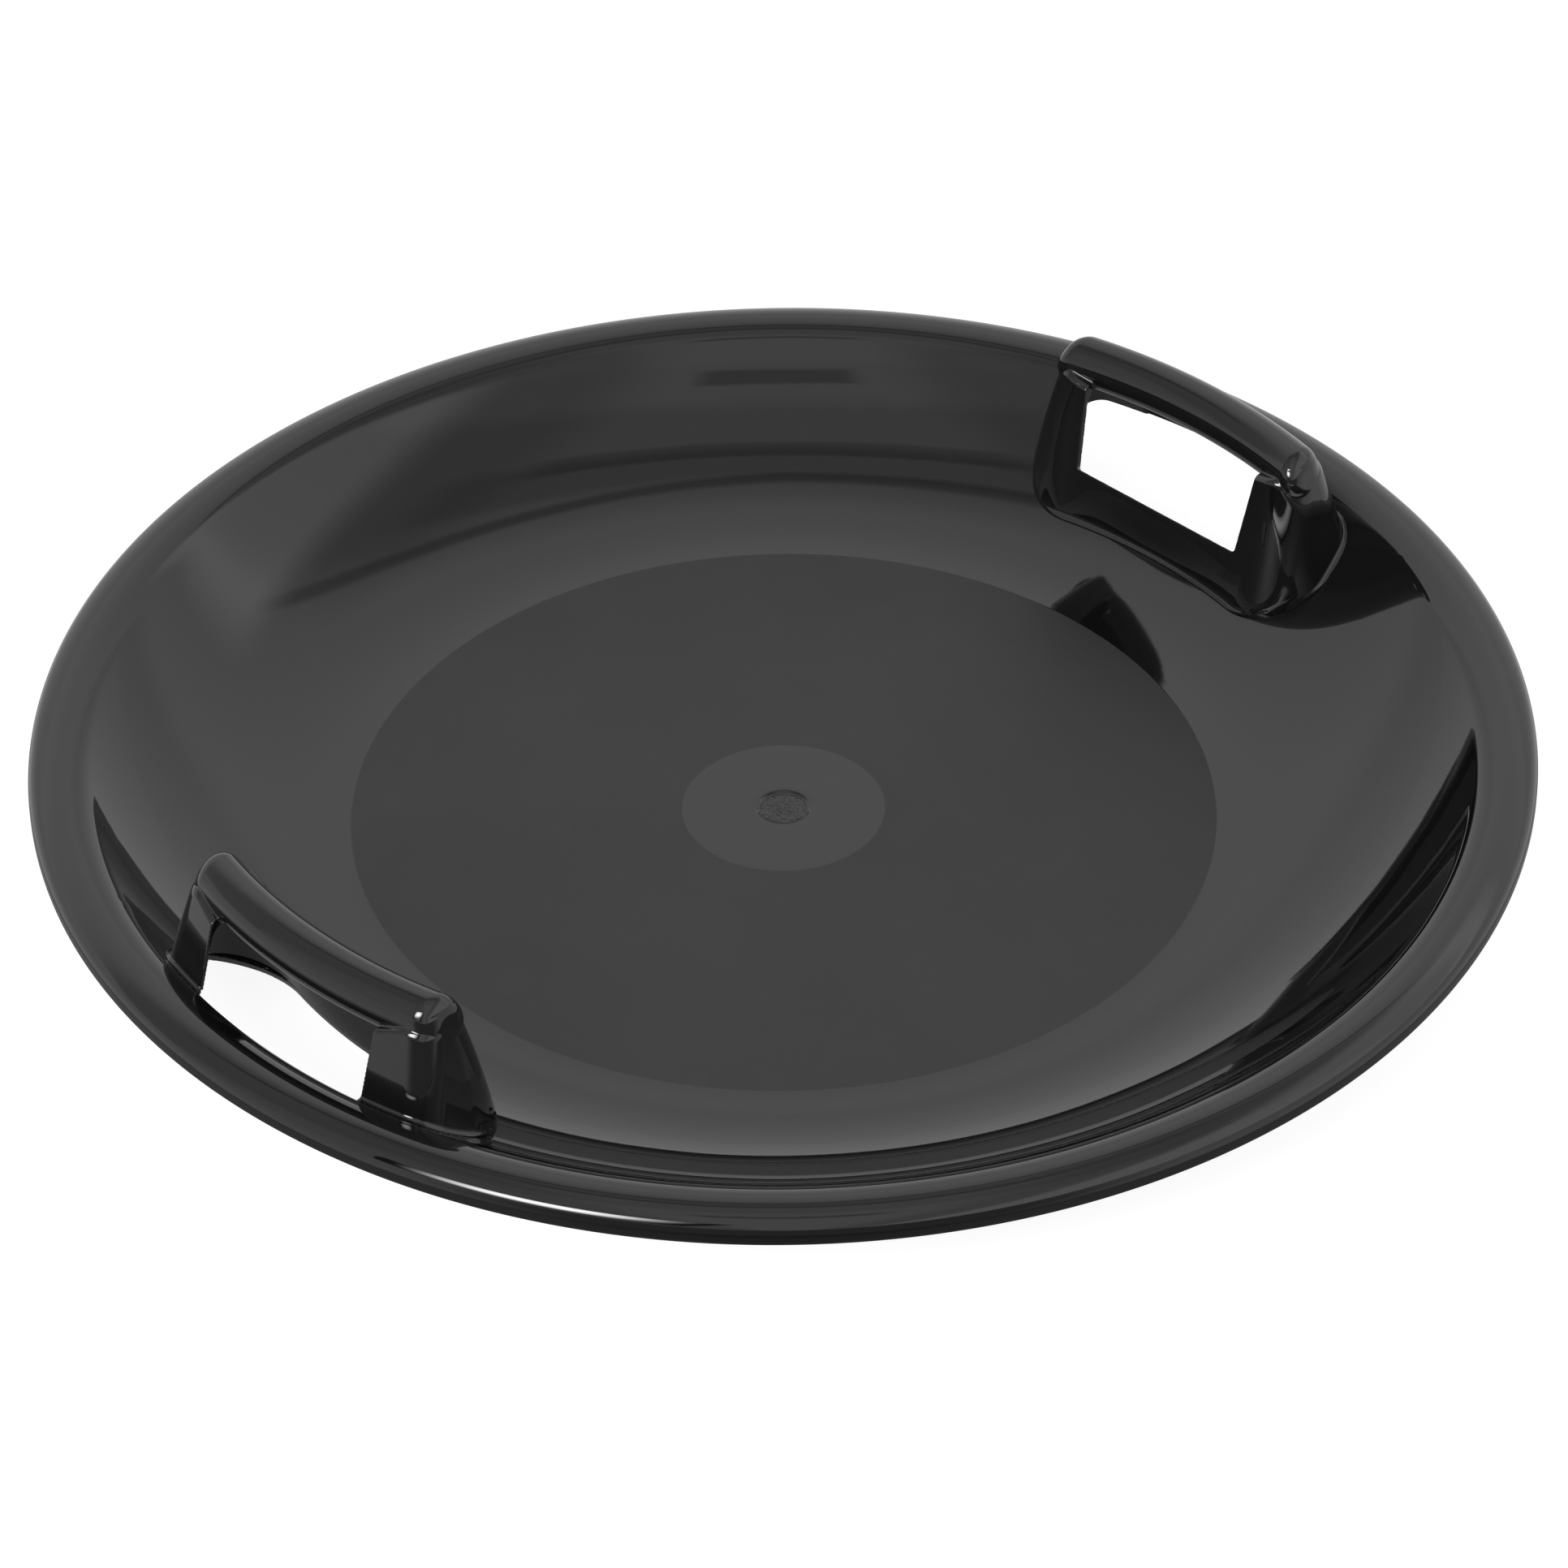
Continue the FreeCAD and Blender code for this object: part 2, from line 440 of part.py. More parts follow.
def handle(label, turn):
    n = label + "_"
    # foot plug: the same thickness as the dish wall, standing in its opening; a U, open at the back
    foot = [[(1, "foot_front_r")], [(1, "foot_back_r")], [(1, "foot_half")], [(1, "foot_front_corner")], [(1, "foot_back_corner")]]
    zero = FreeCAD.Placement(V(0, 0, 0), LEVEL)
    foot_sk = sketch(n + "foot_outline", zero)
    outline(foot_sk, *foot)
    foot_pr = prism(n + "foot_prism", foot_sk, 120.0)
    wall = strip(n + "wall", (0.0, "0"), (val["wall_thick"], "Dims.wall_thick"))
    plug = overlap(n + "plug", wall, foot_pr)
    # bead lying on the dish round the foot
    w = (1, "bead_width")
    bead_sk = sketch(n + "bead_outline", zero)
    outline(bead_sk, [(1, "foot_front_r"), (-1, "bead_width")], [(1, "foot_back_r"), w], [(1, "foot_half"), w],
            [(1, "foot_front_corner"), w], [(1, "foot_back_corner"), w])
    bead_pr = prism(n + "bead_prism", bead_sk, 120.0)
    over = strip(n + "over", (-0.05 - val["bead_height"], "(-0.05) - Dims.bead_height"), (-0.05, "(-0.05)"))
    bead = overlap(n + "bead", over, bead_pr)
    # flared legs above the wall's lower face
    legs_raw = loft(n + "legs_raw", leg_levels(n + "leg", False))
    below = strip(n + "below", (val["wall_thick"], "Dims.wall_thick"), -60.0)
    legs = take(n + "legs", overlap(n + "legs_foot", legs_raw, foot_pr), below)
    crown = loft(n + "crown", leg_levels(n + "crown_leg", False, ("top", "crown")))
    body = join(n + "outer", [plug, bead, legs, crown])
    # hollow inside, open below
    room_loft = loft(n + "room_loft", leg_levels(n + "room", True))
    foot_in_sk = sketch(n + "foot_inside_outline", zero)
    outline(foot_in_sk, [(1, "foot_front_r"), (1, "skin")], [(1, "foot_back_r"), skin], [(1, "foot_half"), skin],
            [(1, "foot_front_corner"), skin], [(1, "foot_back_corner"), skin])
    foot_in = prism(n + "foot_inside", foot_in_sk, 120.0)
    legs_room = overlap(n + "legs_room", room_loft, foot_in)
    wall_room = overlap(n + "wall_room", strip(n + "throat", (-0.6, "(-0.6)"), -30.0), foot_in)
    # hand openings: over the sill in front, right down through the foot at the back
    front_sk = sketch(n + "front_window", FreeCAD.Placement(V(200, 0, 0), CROSS))
    top = (val["crown_z"] + 1.0, "Dims.crown_z + 1")
    sill = (val["sill_z"], "Dims.sill_z")
    polygon(front_sk, [((-val["window_low"], "-Dims.window_low"), sill), ((val["window_low"], "Dims.window_low"), sill),
                       ((val["window_high"], "Dims.window_high"), top), ((-val["window_high"], "-Dims.window_high"), top)])
    front = doc.addObject("Part::Extrusion", n + "front_opening")
    front.Base, front.DirMode, front.Dir, front.LengthFwd, front.Solid = front_sk, "Custom", V(1, 0, 0), 50.0, True
    back_sk = sketch(n + "back_window", FreeCAD.Placement(V(248, 0, 0), CROSS))
    low = (-20.0, "-20")
    wb, wbn = (val["window_back"], "Dims.window_back"), (-val["window_back"], "-Dims.window_back")
    polygon(back_sk, [(wbn, low), (wb, low), (wb, top), (wbn, top)])
    back = doc.addObject("Part::Extrusion", n + "back_opening")
    back.Base, back.DirMode, back.Dir, back.LengthFwd, back.Solid = back_sk, "Custom", V(1, 0, 0), 40.0, True
    hollow = join(n + "hollow", [legs_room, wall_room, front, back])
    shell = take(n + "shell", body, hollow)
    grip = take(n + "grip", bar(n + "grip_bar"), core(n + "grip_core"))
    # four snap hooks under the dish wall
    hooks = []
    reach, drop = val["hook_reach"], val["hook_drop"]
    for side, r_in, r_out, nose in (("front", val["foot_front_r"] + val["skin"] - 0.4, val["foot_front_r"], -reach),
                                    ("back", val["foot_back_r"] - val["skin"] + 0.4, val["foot_back_r"], reach)):
        cell = "Dims.foot_%s_r" % side
        inner = "%s %s Dims.skin %s 0.4" % (cell, "+" if side == "front" else "-", "-" if side == "front" else "+")
        tip = "%s %s Dims.hook_reach" % (cell, "-" if side == "front" else "+")
        under_f = under_formula
        sk = sketch(n + "hook_%s_profile" % side, FreeCAD.Placement(V(0, 0, 0), UPRIGHT))
        polygon(sk, [
            ((r_in, inner), (under(r_in) + 1.2, under_f(inner) + " + 1.2")),
            ((r_in, inner), (under(r_out) - drop, under_f(cell) + " - Dims.hook_drop")),
            ((r_out, cell), (under(r_out) - drop, under_f(cell) + " - Dims.hook_drop")),
            ((r_out + nose, tip), (under(r_out + nose) - 1.0, under_f(tip) + " - 1.0")),
            ((r_out + nose, tip), (under(r_out + nose) - 0.3, under_f(tip) + " - 0.3")),
            ((r_out, cell), (under(r_out) - 0.3, under_f(cell) + " - 0.3")),
            ((r_out, cell), (under(r_out) + 1.2, under_f(cell) + " + 1.2")),
        ])
        for tag, s in (("a", 1), ("b", -1)):
            span, place = val["hook_%s_span" % side], val["hook_%s_place" % side]
            hk = revolve(n + "hook_%s_%s" % (side, tag), sk, span, s * place - span / 2)
            hk.setExpression("Angle", "Dims.hook_%s_span" % side)
            hooks.append(hk)
    done = join(n + "moulding", [shell, grip] + hooks)
    done.Label = label
    done.Placement = FreeCAD.Placement(V(0, 0, 0), FreeCAD.Rotation(V(0, 0, 1), turn))
    return done


right = handle("right_handle", 0.0)
left = handle("left_handle", 180.0)
doc.recompute()

# ------------------------------------------------------------------ tests, then the files
nodes = [pan, right, left]
for o in doc.Objects:
    bad = [s for s in o.State if s in ("Invalid", "Error")]
    if bad:
        raise RuntimeError("%s (%s) failed: %s" % (o.Name, o.Label, bad))
for o in nodes:
    if o.Shape.isNull() or not o.Shape.isValid():
        raise RuntimeError("%s has no valid shape" % o.Label)
    if len(o.Shape.Solids) != 1:
        raise RuntimeError("%s has %d solids" % (o.Label, len(o.Shape.Solids)))

os.makedirs("parts", exist_ok=True)
for o in nodes:
    o.Shape.exportStep("parts/%s.step" % o.Label)
    b = o.Shape.BoundBox
    print("%-14s volume %9.1f mm3  x %.2f..%.2f  y %.2f..%.2f  z %.2f..%.2f" % (
        o.Label, o.Shape.Volume, b.XMin, b.XMax, b.YMin, b.YMax, b.ZMin, b.ZMax))
for a, b in ((pan, right), (pan, left), (right, left)):
    print(a.Label, b.Label, "common", round(a.Shape.common(b.Shape).Volume, 4), "gap", round(a.Shape.distToShape(b.Shape)[0], 4))
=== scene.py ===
import itertools
import math

import bmesh
import bpy
import numpy as np
from mathutils import Matrix, Vector


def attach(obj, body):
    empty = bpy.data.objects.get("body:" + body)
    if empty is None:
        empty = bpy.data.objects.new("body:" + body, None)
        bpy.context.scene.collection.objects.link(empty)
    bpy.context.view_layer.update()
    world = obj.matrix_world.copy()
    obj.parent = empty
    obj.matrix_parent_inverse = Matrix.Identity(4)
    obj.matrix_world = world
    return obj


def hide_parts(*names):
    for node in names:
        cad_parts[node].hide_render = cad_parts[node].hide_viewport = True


# Snow saucer in glossy black moulded plastic: a dish and two arched handles.
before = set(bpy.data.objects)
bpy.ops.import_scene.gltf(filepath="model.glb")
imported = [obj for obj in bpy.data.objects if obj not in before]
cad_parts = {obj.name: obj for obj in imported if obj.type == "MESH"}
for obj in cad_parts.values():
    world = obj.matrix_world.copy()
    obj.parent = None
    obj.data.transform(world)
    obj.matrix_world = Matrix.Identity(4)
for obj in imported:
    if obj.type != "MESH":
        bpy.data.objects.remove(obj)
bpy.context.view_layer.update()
MM = 0.001

# ---------------------------------------------------------------- sizes in millimetres, as in the CAD
T = 3.0                                   # wall
R_FLOOR, R_BOWL, R_OUT = 174.5, 142.4, 300.0
H_RIM = 46.75
RIM, SKIRT = H_RIM + T, 35.0 + T
R_CREST, R_BAND, R_EDGE = 18.0, 20.0, 6.5
R_GATE, D_GATE = 11.0, 0.8
A_WALL = math.acos(1 - H_RIM / (R_BOWL + R_CREST))                       # steepest slope, where the bowl meets the rim roll
R_TOP = R_FLOOR + math.sqrt((R_BOWL + R_CREST) ** 2 - (R_BOWL + R_CREST - H_RIM) ** 2)


def wall_face(r, depth=0.0):
    """Height of the dish at a radius, on the surface `depth` below the upper face."""
    r = np.asarray(r, float)
    bowl = T + R_BOWL - np.sqrt(np.maximum((R_BOWL + depth) ** 2 - np.maximum(r - R_FLOOR, 0) ** 2, 0))
    roll = RIM - R_CREST + np.sqrt(np.maximum((R_CREST - depth) ** 2 - (r - R_TOP) ** 2, 0))
    return np.where(r < R_FLOOR + (R_BOWL + depth) * math.sin(A_WALL), bowl, roll)


FOOT = dict(front=222.4, back=273.8, half=77.2, cf=26.0, cb=18.0)
LEVELS = dict(z=(0.0, 35.0, 71.3), front=(219.6, 227.4, 235.6), back=(284.6, 274.2, 263.2), half=(82.6, 75.6, 67.7),
              cf=(30.0, 19.5, 13.0), cb=(20.0, 14.5, 11.0))
SKIN = 2.4
GRIP_R, GRIP_Z, GRIP_T, GRIP_HALF = 250.0, 74.3, 10.4, 57.0


# ---------------------------------------------------------------- small distance-field kit
def rmax(a, b, k):
    """Intersection with a round edge."""
    return np.minimum(np.maximum(a, b), -k) + np.hypot(np.maximum(a + k, 0), np.maximum(b + k, 0))


def rmin(a, b, k):
    """Union with a fillet."""
    return np.maximum(np.minimum(a, b), k) - np.hypot(np.maximum(k - a, 0), np.maximum(k - b, 0))


def outline(x, y, front, back, half, cf, cb):
    """Curved rounded rectangle seen from above, arcs about the dish axis in front and behind."""
    r, ay = np.hypot(x, y), np.abs(y)
    d = np.maximum(np.maximum(front - r, r - back), ay - half)
    yf, yb = half - cf, half - cb
    xf, xb = np.sqrt((front + cf) ** 2 - yf ** 2), np.sqrt((back - cb) ** 2 - yb ** 2)
    u, v = x - xf, ay - yf
    near = (u < 0) & (v * xf > u * yf)
    d = np.where(near, np.hypot(u, v) - cf, d)
    u, v = x - xb, ay - yb
    far = (u > 0) & (v * xb > u * yb)
    return np.where(far, np.hypot(u, v) - cb, d)


def at_level(name, z):
    """Quadratic through the three levels of the leg."""
    z0, z1, z2 = LEVELS["z"]
    a, b, c = LEVELS[name]
    return (a * (z - z1) * (z - z2) / ((z0 - z1) * (z0 - z2)) + b * (z - z0) * (z - z2) / ((z1 - z0) * (z1 - z2))
            + c * (z - z0) * (z - z1) / ((z2 - z0) * (z2 - z1)))


# ---------------------------------------------------------------- mesh helpers
def new_object(name, verts, faces, normals=None):
    me = bpy.data.meshes.new(name)
    me.from_pydata([tuple(v) for v in np.asarray(verts, float) * MM], [], [tuple(int(i) for i in f) for f in faces])
    me.validate()
    me.polygons.foreach_set("use_smooth", [True] * len(me.polygons))
    ob = bpy.data.objects.new(name, me)
    bpy.context.scene.collection.objects.link(ob)
    if normals is not None:
        me.normals_split_custom_set_from_vertices([tuple(n) for n in normals])
    me.update()
    return ob


# ---------------------------------------------------------------- pan
def arc_points(c, rad, a0, a1, n):
    """Points and outward-facing normals of an arc; n intervals, first point left out."""
    out = []
    for i in range(1, n + 1):
        a = a0 + (a1 - a0) * i / n
        out.append((c[0] + rad * math.cos(a), c[1] + rad * math.sin(a), math.cos(a), math.sin(a)))
    return out


def pan_profile():
    """Upper face from the centre to the skirt's foot as rows (r, z, normal r, normal z), and the first and last wall rows."""
    rows = []
    for r in (0.8, 1.6, 2.4, 3.2, 4.0, 4.6, 5.2, 6.4, 7.8, 9.2):    # low nub in the middle of the recess
        u = min(r / 5.2, 1.0)
        ds = -4 * 0.6 * u * (1 - u * u) / 5.2
        rows.append((r, T - D_GATE + 0.6 * (1 - u * u) ** 2, -ds / math.hypot(ds, 1), 1 / math.hypot(ds, 1)))
    for i in range(1, 9):                                       # soft side of the centre recess
        u = i / 8
        s = u * u * (3 - 2 * u)
        ds = 6 * u * (1 - u) * D_GATE / 2.0
        rows.append((9.4 + 2.0 * u, T - D_GATE + D_GATE * s, -ds / math.hypot(ds, 1), 1 / math.hypot(ds, 1)))
    for r in (14, 20, 27, 34, 40.9, 48, 58, 70, 82, 94, 106, 118, 130, 142, 152, 160, 166, 170.5, R_FLOOR):
        rows.append((float(r), T, 0.0, 1.0))
    ra, rb = 218.0, 278.8
    up = lambda pts: [(p[0], p[1], -p[2], -p[3]) for p in pts]
    rows += up(arc_points((R_FLOOR, T + R_BOWL), R_BOWL, -math.pi / 2, -math.pi / 2 + math.asin((ra - R_FLOOR) / R_BOWL), 14))[:-1]
    first = len(rows)
    for r in np.concatenate([np.linspace(ra, 268.0, 21)[:-1], np.linspace(268.0, rb, 13)]):
        if r < R_FLOOR + R_BOWL * math.sin(A_WALL):
            s = (r - R_FLOOR) / R_BOWL
        else:
            s = (R_TOP - r) / R_CREST
        rows.append((float(r), float(wall_face(r)), -s, math.sqrt(1 - s * s)))
    last = len(rows) - 1
    rows += arc_points((R_TOP, RIM - R_CREST), R_CREST, math.pi / 2 + math.asin((R_TOP - rb) / R_CREST), math.pi / 2, 10)
    th = math.asin((R_OUT - R_EDGE - R_TOP) / (R_BAND - R_EDGE))
    rows += arc_points((R_TOP, RIM - R_BAND), R_BAND, math.pi / 2, math.pi / 2 - th, 14)
    ze = RIM - R_BAND + (R_BAND - R_EDGE) * math.cos(th)
    rows += arc_points((R_OUT - R_EDGE, ze), R_EDGE, math.pi / 2 - th, 0.0, 12)
    for z in np.linspace(ze, SKIRT + 1.0, 5)[1:]:
        rows.append((R_OUT, float(z), 1.0, 0.0))
    return rows, first, last


def build_pan():
    rows, first, last = pan_profile()
    seg = 480
    lip = [(p[0], p[1]) for p in arc_points((R_OUT - 1.0, SKIRT + 1.0), 1.0, 0.0, -math.pi / 2, 5)]
    lip += [(p[0], p[1]) for p in arc_points((R_OUT - T + 1.0, SKIRT + 1.0), 1.0, -math.pi / 2, -math.pi, 5)]
    under = []
    for r, z, nr, nz in reversed(rows):
        under.append((r, 0.0) if r < 40 else (r - T * nr, z - T * nz))
    under[0] = (R_OUT - T, SKIRT + 1.8)
    prof = [(r, z) for r, z, _, _ in rows] + lip + under
    m = len(rows)
    u_first = m + len(lip) + (m - 1 - last)                     # lower face's wall rows, from the rim inwards
    u_last = m + len(lip) + (m - 1 - first)
    verts = [(0.0, 0.0, T - D_GATE + 0.6), (0.0, 0.0, 0.0)]
    th = np.arange(seg) * 2 * math.pi / seg
    cs, sn = np.cos(th), np.sin(th)
    row_id = []
    for r, z in prof:
        row_id.append(len(verts) + np.arange(seg))
        verts += [(r * c, r * s, z) for c, s in zip(cs, sn)]
    faces = []
    half = seg // 16                                            # opening patches, 22.5 degrees each way
    centres = (0, seg // 2)

    def in_patch(j):
        return any((j - c + half) % seg < 2 * half for c in centres)

    for j in range(seg):
        k = (j + 1) % seg
        faces.append((0, row_id[0][j], row_id[0][k]))
        faces.append((1, row_id[-1][k], row_id[-1][j]))
    for i in range(len(prof) - 1):
        a, b = row_id[i], row_id[i + 1]
        hole_row = first <= i < last or u_first <= i < u_last
        for j in range(seg):
            if hole_row and in_patch(j):
                continue
            k = (j + 1) % seg
            faces.append((a[j], b[j], b[k], a[k]))

    gap = 0.2
    hole = dict(front=FOOT["front"] - gap, back=FOOT["back"] + gap, half=FOOT["half"] + gap, cf=FOOT["cf"] + gap, cb=FOOT["cb"] + gap)

    def cut(B, C):
        """Where the line from C to B leaves the opening."""
        lo, hi = 0.0, 1.0
        for _ in range(50):
            mid = (lo + hi) / 2
            p = C + (B - C) * mid
            if outline(p[0], p[1], **hole) < 0:
                lo = mid
            else:
                hi = mid
        return C + (B - C) * lo

    layers = 9
    for c in centres:
        sgn = 1.0 if c == 0 else -1.0
        cols = [(c - half + q) % seg for q in range(2 * half + 1)]

        def loop(i0, i1):
            ids = [row_id[i0][j] for j in cols]
            step = 1 if i1 > i0 else -1
            ids += [row_id[i][cols[-1]] for i in range(i0 + step, i1 + step, step)]
            ids += [row_id[i1][j] for j in reversed(cols[:-1])]
            ids += [row_id[i][cols[0]] for i in range(i1 - step, i0, -step)]
            return ids

        top = loop(first, last)
        low = loop(u_last, u_first)
        C = np.array([247.3, 0.0])
        H = [cut(np.array(verts[v][:2]) * sgn, C) for v in top]
        rings = []
        for ids, drop in ((top, 0.0), (low, T)):
            ring = []
            for s in np.linspace(0, 1, layers + 1)[:-1]:
                s = s ** 1.3
                cur = []
                for h, v in zip(H, ids):
                    p = h + (np.array(verts[v][:2]) * sgn - h) * s
                    r = math.hypot(p[0], p[1])
                    cur.append(len(verts))
                    verts.append((p[0] * sgn, p[1] * sgn, float(wall_face(r, drop))))
                ring.append(cur)
            ring.append(list(ids))
            for a, b in zip(ring[:-1], ring[1:]):
                for q in range(len(ids)):
                    w = (q + 1) % len(ids)
                    faces.append((a[q], a[w], b[w], b[q]) if drop == 0.0 else (a[w], a[q], b[q], b[w]))
            rings.append(ring[0])
        n = len(rings[0])
        for q in range(n):
            w = (q + 1) % n
            faces.append((rings[0][w], rings[0][q], rings[1][q], rings[1][w]))
    ob = new_object("pan_moulding", verts, faces)
    bm = bmesh.new()
    bm.from_mesh(ob.data)
    bmesh.ops.recalc_face_normals(bm, faces=bm.faces)
    bm.to_mesh(ob.data)
    bm.free()
    ob.data.polygons.foreach_set("use_smooth", [True] * len(ob.data.polygons))
    ob.data.set_sharp_from_angle(angle=math.radians(50))
    return ob


# ---------------------------------------------------------------- handle
def handle_field(P):
    """Signed distance, in millimetres, of the handle on +X. P is n by 3."""
    x, y, z = P[:, 0], P[:, 1], P[:, 2]
    r = np.hypot(x, y)
    ay = np.abs(y)
    dw = R_BOWL - np.hypot(r - R_FLOOR, z - T - R_BOWL)          # above the dish wall
    zc = np.clip(z, 0.0, 80.0)
    # the front face is flatter than the dish at the height of the sill
    u = np.clip((zc - 10.0) / 24.0, 0.0, 1.0)
    flat = 4.3 * u * u * (3 - 2 * u) * np.clip(1 - (y / 54.0) ** 2, 0.0, 1.0) ** 2
    front, back, half = at_level("front", zc) - flat, at_level("back", zc), at_level("half", zc)
    cf, cb = at_level("cf", zc), at_level("cb", zc)
    leg = outline(x, y, front, back, half, cf, cb) * 0.94
    # each leg ends in a narrow shoulder round the grip
    out = np.clip(ay - 46.0, -6.0, 24.0)
    crown = np.clip(71.4 + 0.26 * out - np.clip(r - 237.0, 0.0, 30.0) * (0.015 - 0.004 * out), 60.0, 79.5)
    u = np.clip((ay - 56.0) / 11.0, 0.0, 1.0)
    leg = rmax(leg, (z - crown) * 0.95, 2.0 + 4.7 * u * u * (3 - 2 * u))
    room = outline(x, y, front + SKIN, back - 1.9, half - 1.9, cf - 2.0, cb - 1.7) * 0.94
    # foot: a small fillet running out into a thin edge on the dish
    bead = outline(x, y, FOOT["front"] - 1.3, FOOT["back"] + 1.3, FOOT["half"] + 1.3, FOOT["cf"] + 1.3, FOOT["cb"] + 1.3)
    skirted = rmin(leg, dw - 0.12, 2.6)
    skirted = rmax(skirted, bead, 0.3)
    skirted = np.maximum(skirted, 0.03 - dw)
    plug = rmax(outline(x, y, **FOOT), np.abs(dw + 1.4) - 1.6, 0.6)
    shell = np.minimum(skirted, plug)
    below = np.clip(-dw, 0.0, 3.2)                               # the foot's inside widens downwards
    throat = outline(x, y, FOOT["front"] + 2.0 - 0.3 * below, 271.2 + 0.9 * below, FOOT["half"] - 1.8 + 0.4 * below, 24.0, 16.5)
    throat = np.maximum(throat, dw - 1.0)
    room = rmax(room, (z - crown + 3.0) * 0.95, 5.0)
    hollow = np.minimum(np.maximum(room, 0.3 - dw), throat)
    shell = rmax(shell, -hollow, 0.4)
    # hand openings between the legs: over a bevelled sill in front, right down through the foot behind
    wf = 44.0 + (z - 35.0) * 0.083
    sill = (34.8 - z - (x - 223.5) * 1.2) / 1.562
    win_f = np.maximum(rmax(ay - wf, sill, 1.3), r - 250.0)
    win_b = np.maximum(ay - 45.0, 248.0 - r)
    shell = rmax(shell, -np.minimum(win_f, win_b), 0.4)
    # round grip, hollowed from below by a slot
    bar = rmax(np.hypot(r - GRIP_R, z - GRIP_Z) - GRIP_T, (ay - half) * 0.97, 7.0)
    slot = np.maximum(rmax(np.abs(r - GRIP_R) - 4.4, z - GRIP_Z - 3.0, 4.0), ay - GRIP_HALF)
    u = np.clip((ay - 54.0) / 9.0, 0.0, 1.0)
    whole = rmin(shell, bar, 1.0 - 0.6 * u * u * (3 - 2 * u))
    return rmax(whole, -slot, 0.8)


def surface_nets(f):
    """Quad mesh of the zero level of a sampled field, in steps of the grid."""
    ins = f < 0
    nx, ny, nz = f.shape
    corner = {c: ins[c[0]:nx - 1 + c[0], c[1]:ny - 1 + c[1], c[2]:nz - 1 + c[2]] for c in itertools.product((0, 1), repeat=3)}
    count = sum(v.astype(np.int8) for v in corner.values())
    active = (count > 0) & (count < 8)
    ijk = np.argwhere(active)
    idx = np.full(active.shape, -1, np.int64)
    idx[active] = np.arange(len(ijk))
    acc = np.zeros((len(ijk), 3))
    num = np.zeros(len(ijk))
    for a in itertools.product((0, 1), repeat=3):
        for ax in range(3):
            if a[ax]:
                continue
            b = list(a)
            b[ax] = 1
            fa = f[ijk[:, 0] + a[0], ijk[:, 1] + a[1], ijk[:, 2] + a[2]]
            fb = f[ijk[:, 0] + b[0], ijk[:, 1] + b[1], ijk[:, 2] + b[2]]
            m = (fa < 0) != (fb < 0)
            t = fa[m] / (fa[m] - fb[m])
            p = np.tile(np.array(a, float), (m.sum(), 1))
            p[:, ax] = t
            acc[m] += p
            num[m] += 1
    verts = ijk + acc / num[:, None]
    quads = []
    for ax in range(3):
        u, v = [(1, 2), (2, 0), (0, 1)][ax]
        sl0, sl1 = [slice(None)] * 3, [slice(None)] * 3
        sl0[ax], sl1[ax] = slice(0, -1), slice(1, None)
        a, b = ins[tuple(sl0)], ins[tuple(sl1)]
        e = np.argwhere(a != b)
        ok = (e[:, u] > 0) & (e[:, v] > 0) & (e[:, u] < f.shape[u] - 1) & (e[:, v] < f.shape[v] - 1)
        e = e[ok]
        flip = a[tuple(e.T)]
        q = []
        for du, dv in ((-1, -1), (0, -1), (0, 0), (-1, 0)):
            c = e.copy()
            c[:, u] += du
            c[:, v] += dv
            q.append(idx[tuple(c.T)])
        q = np.stack(q, 1)
        q[~flip] = q[~flip][:, ::-1]
        quads.append(q)
    return verts, np.concatenate(quads)


def gradient(P, e=0.06):
    g = np.zeros_like(P)
    for ax in range(3):
        d = np.zeros(3)
        d[ax] = e
        g[:, ax] = (handle_field(P + d) - handle_field(P - d)) / (2 * e)
    return g


def build_handles():
    h = 0.6
    # the grid's upright axis is the height above the dish wall, finest where the foot runs out on it
    ax = [np.arange(208.0, 281.0, h), np.arange(-84.0, 84.1, h),
          np.concatenate([np.arange(-7.0, -0.3, h), np.arange(-0.2, 1.9, 0.2), np.arange(2.3, 80.0, h)])]
    lift = lambda X, Y: np.interp(np.hypot(X, Y), np.linspace(200, 300, 401), wall_face(np.minimum(np.linspace(200, 300, 401), 287.0)))
    f = np.empty([len(a) for a in ax])
    Y, W = np.meshgrid(ax[1], ax[2], indexing="ij")
    for i, xv in enumerate(ax[0]):
        P = np.stack([np.full(Y.size, xv), Y.ravel(), (W + lift(xv, Y)).ravel()], 1)
        f[i] = handle_field(P).reshape(Y.shape)
    v, q = surface_nets(f)
    v = np.stack([np.interp(v[:, i], np.arange(len(ax[i])), ax[i]) for i in range(3)], 1)
    v[:, 2] += lift(v[:, 0], v[:, 1])
    for _ in range(5):                                           # settle the points on the true surface
        d = handle_field(v)
        g = gradient(v)
        step = d / np.maximum((g * g).sum(1), 0.2)
        v = v - np.clip(step, -0.3, 0.3)[:, None] * g
    nrm = gradient(v, 0.12)
    nrm /= np.maximum(np.linalg.norm(nrm, axis=1, keepdims=True), 1e-9)
    right = new_object("right_handle_moulding", v, q, nrm)
    turn = np.array([-1.0, -1.0, 1.0])
    left = new_object("left_handle_moulding", v * turn, q, nrm * turn)
    return right, left


